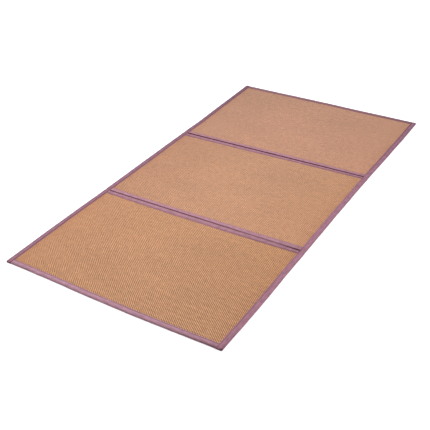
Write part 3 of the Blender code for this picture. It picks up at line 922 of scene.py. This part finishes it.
# Section of one side of a fold tape: distance out from the hinge line, or in from the tape's
# rim where from_rim is 1, then height, then the painted shade of seam and of crease, and 1
# where the point is in the slot
FoldRow = namedtuple("FoldRow", "out from_rim height seam crease slot")
HINGE_UNDER = FoldRow(0.0, 0, 0.0014, 0.0, 0.6, 0)
HINGE_OVER = FoldRow(0.0, 0, 0.0027, 0.0, 1.0, 0)
HALF_FOLD_ROWS = (
    FoldRow(0.0009, 0, 0.0012, 0.0, 0.4, 0),
    FoldRow(0.0022, 0, 0.0005, 0.0, 0.2, 0),
    FoldRow(0.0045, 0, 0.0000, 0.0, 0.0, 0),
    FoldRow(0.0057, 1, 0.0000, 0.2, 0.0, 0),
    FoldRow(0.0045, 1, 0.0006, 1.0, 0.0, 0),
    FoldRow(0.0033, 1, 0.0000, 0.2, 0.0, 0),
    FoldRow(0.0006, 1, 0.0000, 0.0, 0.0, 0),
    FoldRow(0.0000, 1, 0.0005, 0.0, 0.0, 0),
    FoldRow(0.0000, 1, 0.0012, 0.0, 0.0, 1),
    FoldRow(0.0120, 0, 0.0012, 0.0, 0.0, 1),
    FoldRow(0.0050, 0, 0.0012, 0.0, 0.0, 1),
    FoldRow(0.0050, 0, 0.0047, 0.0, 0.0, 1),
    FoldRow(0.0120, 0, 0.0047, 0.0, 0.0, 1),
    FoldRow(0.0000, 1, 0.0047, 0.0, 0.0, 1),
    FoldRow(0.0000, 1, 0.0053, 0.0, 0.0, 0),
    FoldRow(0.0004, 1, 0.0058, 0.0, 0.0, 0),
    FoldRow(0.0012, 1, 0.0060, 0.0, 0.0, 0),
    FoldRow(0.0024, 1, 0.0060, 0.1, 0.0, 0),
    FoldRow(0.0035, 1, 0.0057, 0.6, 0.0, 0),
    FoldRow(0.0045, 1, 0.0050, 1.0, 0.0, 0),
    FoldRow(0.0055, 1, 0.0057, 0.6, 0.0, 0),
    FoldRow(0.0066, 1, 0.0062, 0.1, 0.0, 0),
    FoldRow(0.0085, 1, 0.0064, 0.0, 0.0, 0),
    FoldRow(0.0110, 0, 0.0065, 0.0, 0.0, 0),
    FoldRow(0.0080, 0, 0.0064, 0.0, 0.0, 0),
    FoldRow(0.0060, 0, 0.0061, 0.0, 0.0, 0),
    FoldRow(0.0045, 0, 0.0056, 0.0, 0.2, 0),
    FoldRow(0.0033, 0, 0.0048, 0.0, 0.4, 0),
    FoldRow(0.0022, 0, 0.0039, 0.0, 0.8, 0),
    FoldRow(0.0011, 0, 0.0031, 0.0, 1.0, 0),
)
# How much painted shade darkens each crease and each tape's near seam, by place across the
# mat. Above 1 the full dark reaches further out from the hinge line.
CreaseRow = namedtuple("CreaseRow", "place front back front_seam back_seam")
CREASE_ROWS = (
    CreaseRow(-0.475, 0.90, 3.00, 0.20, 0.80),
    CreaseRow(-0.440, 0.90, 3.00, 0.20, 0.20),
    CreaseRow(0.000, 0.90, 2.90, 0.20, 0.20),
    CreaseRow(0.300, 0.56, 2.10, 0.20, 0.20),
    CreaseRow(0.400, 0.66, 1.60, 0.20, 0.50),
    CreaseRow(0.475, 2.40, 1.20, 0.20, 0.90),
)
# Each tape's fold, the phase of its puckers, its colour at its left end and at its right
# end, which carry a painted falloff of light, its columns in CREASE_ROWS, how much darker the
# strip before the crease is than the one after it, as painted shade, and how much lighter the
# tape's middle is, as painted light
FoldTapeRow = namedtuple("FoldTapeRow", "node fold phase left_mauve right_mauve crease seam near "
                                        "middle_lighter")
FOLD_TAPES = (
    FoldTapeRow("fold_tape_front", FRONT_FOLD, 0.9, (0.407, 0.209, 0.261),
                (0.338, 0.172, 0.214), "front", "front_seam", 0.175, 0.13),
    FoldTapeRow("fold_tape_back", BACK_FOLD, 4.4, (0.365, 0.182, 0.228),
                (0.360, 0.176, 0.226), "back", "back_seam", 0.150, 0.10),
)


def half_fold(width, side):
    """The rows of one side of a fold tape, with their distance out signed by the side."""
    return [row._replace(out=side * (width - row.out if row.from_rim else row.out))
            for row in HALF_FOLD_ROWS]


fold_rows = ([HINGE_UNDER] + half_fold(FOLD_TAPE_FAR_WIDTH, 1) + [HINGE_OVER]
             + half_fold(FOLD_TAPE_NEAR_WIDTH, -1)[::-1])
fold_out, fold_height, fold_seam, fold_crease, fold_slot = (
    column_of(fold_rows, name) for name in ("out", "height", "seam", "crease", "slot"))
# The cloth puckers less towards the hinge, and not at all in the slots
fold_loose = np.clip(np.abs(fold_out) / HINGE_PART, HINGE_SHARE, 1.0) * (fold_slot == 0)
fold_tapes = []
for table in FOLD_TAPES:
    near_sideways, near_upwards = pucker(cross_places, table.phase)
    far_sideways, far_upwards = pucker(cross_places, table.phase + FAR_PHASE)
    sideways = np.where(fold_out > 0, far_sideways[:, None], near_sideways[:, None])
    upwards = np.where(fold_out > 0, far_upwards[:, None], near_upwards[:, None])
    out = fold_out + sideways * fold_loose
    height = fold_height + upwards * fold_loose * (fold_height > UPPER_CLOTH)

    # Painted shade on the strip before the crease, on the seams and in the crease
    near_seam = read_rows(CREASE_ROWS, table.seam, cross_places)[:, None]
    strip_shade = np.where(fold_out < 0, table.near + fold_seam * near_seam,
                           fold_seam * FAR_SEAM)
    crease_shade = fold_crease * read_rows(CREASE_ROWS, table.crease, cross_places)[:, None]
    tape = fold_strip("bound_" + table.node, cross_places[:, None], table.fold + out, height,
                      np.maximum(strip_shade, np.minimum(crease_shade, 1.0)))
    tape.data.materials.append(cotton_finish("mauve cotton of " + table.node, FOLD_TAPE_FLAT,
                                             2 * CROSS_HALF, table.left_mauve,
                                             table.right_mauve, table.middle_lighter))
    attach(tape, "root")
    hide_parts(table.node)
    fold_tapes.append(tape)


# ---- The stitches ----
# A seam of lock stitch in dark mauve thread holds each tape to its panels, and a fold tape
# has one seam on each side of its fold. A seam shows as one row above and one below, and
# each stitch dips into the cloth at both ends.

# A stitch's spacing and length, how wide its ends are and how far they dip, by the thread's
# width and thickness, and how far a seam lies inside its tape's rim and stops short of its
# ends
STITCH_PITCH = 0.0055
STITCH_LENGTH = 0.0042
STITCH_END_WIDTH = 0.7
STITCH_DIP = 0.45
THREAD_THICK = 0.0006
THREAD_MAUVE = (0.200, 0.095, 0.125)
THREAD_DARK = 0.8
THREAD_LIGHT = 1.25
SEAM_INWARD = 0.0045
SIDE_SEAM_SHORT = 0.006
CROSS_SEAM_SHORT = 0.003

thread_finish, thread_shader, thread_sums = new_finish("dark mauve thread")
thread_noise = thread_sums.add("TexNoise", (), {
    "Vector": thread_sums.add("TexCoord", output="Object"), "Scale": 900.0, "Detail": 1.0})
feed(thread_shader, Roughness=0.55, Base_Color=thread_noise.rise(0.2, 0.8).colour(
    tuple(channel * THREAD_DARK for channel in THREAD_MAUVE),
    tuple(channel * THREAD_LIGHT for channel in THREAD_MAUVE)))


def stitch_row(name, start, end, height, side):
    """A straight row of stitches from start to end along X, above (1) or below (-1)."""
    count = round((end - start) / STITCH_PITCH)
    bpy.ops.object.select_all(action="DESELECT")
    bpy.ops.mesh.primitive_cylinder_add(vertices=5, radius=THREAD_THICK / 2,
                                        depth=STITCH_LENGTH, end_fill_type="TRIFAN",
                                        rotation=(0.0, pi / 2, 0.0))
    stitches = bpy.context.object
    stitches.name = name
    bpy.ops.object.transform_apply(location=False, rotation=True, scale=False)
    bpy.ops.object.mode_set(mode="EDIT")
    bpy.ops.mesh.bisect(plane_co=(0.0, 0.0, 0.0), plane_no=(1.0, 0.0, 0.0))
    bpy.ops.object.mode_set(mode="OBJECT")
    points = points_of(stitches)
    at_end = np.abs(points[:, 0]) > STITCH_LENGTH / 4
    points[:, 1] *= np.where(at_end, STITCH_END_WIDTH, 1.0)
    points[:, 2] -= np.where(at_end, side * THREAD_THICK * STITCH_DIP, 0.0)
    points += np.array([start + STITCH_PITCH / 2, 0.0, height])
    move_points(stitches, points)
    array = stitches.modifiers.new("row of stitches", "ARRAY")
    array.count = count
    array.use_relative_offset = False
    array.use_constant_offset = True
    array.constant_offset_displace = ((end - start) / count, 0.0, 0.0)
    bpy.ops.object.modifier_apply(modifier=array.name)
    bpy.ops.object.shade_smooth()
    return stitches


# The rows above and below: a word for their names, their height, and which way they bulge
FaceRow = namedtuple("FaceRow", "word height side")
STITCHED_FACES = (FaceRow("over", 0.0052, 1), FaceRow("under", 0.00045, -1))
# Each seam's tape, which way it runs, and the line on the straight mat that it follows
SIDE_SEAM = MAT_WIDTH / 2 - TAPE_WIDTH + SEAM_INWARD
END_SEAM = MAT_LENGTH / 2 - TAPE_WIDTH + SEAM_INWARD
SeamRow = namedtuple("SeamRow", "node tape run line")
SEAMS = (
    SeamRow("tape_left", side_tapes[0], "along", -SIDE_SEAM),
    SeamRow("tape_right", side_tapes[1], "along", SIDE_SEAM),
    SeamRow("tape_front", end_tapes[0], "across", -END_SEAM),
    SeamRow("tape_back", end_tapes[1], "across", END_SEAM),
    SeamRow("fold_tape_front", fold_tapes[0], "across",
            FRONT_FOLD - FOLD_TAPE_NEAR_WIDTH + SEAM_INWARD),
    SeamRow("fold_tape_front_far", fold_tapes[0], "across",
            FRONT_FOLD + FOLD_TAPE_FAR_WIDTH - SEAM_INWARD),
    SeamRow("fold_tape_back", fold_tapes[1], "across",
            BACK_FOLD - FOLD_TAPE_NEAR_WIDTH + SEAM_INWARD),
    SeamRow("fold_tape_back_far", fold_tapes[1], "across",
            BACK_FOLD + FOLD_TAPE_FAR_WIDTH - SEAM_INWARD),
)
seam_reach = {"along": MAT_LENGTH / 2 - SIDE_SEAM_SHORT, "across": CROSS_HALF - CROSS_SEAM_SHORT}
stitches_of = {}
for seam in SEAMS:
    reach = seam_reach[seam.run]
    for face in STITCHED_FACES:
        stitches = stitch_row("stitches_%s_%s" % (face.word, seam.node), -reach, reach,
                              face.height, face.side)
        x, y, z = points_of(stitches).T
        if seam.run == "along":
            sunk_z = z - CROSSING_SINK * at_fold(x) * z / side_height.max()
            points = np.stack([seam.line - y, x, sunk_z], axis=1)
        else:
            points = np.stack([x, seam.line + y, z], axis=1)
        move_points(stitches, lay_out(points))
        stitches.data.materials.append(thread_finish)
        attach(stitches, "root")
        stitches_of.setdefault(seam.tape.name, []).append(stitches)
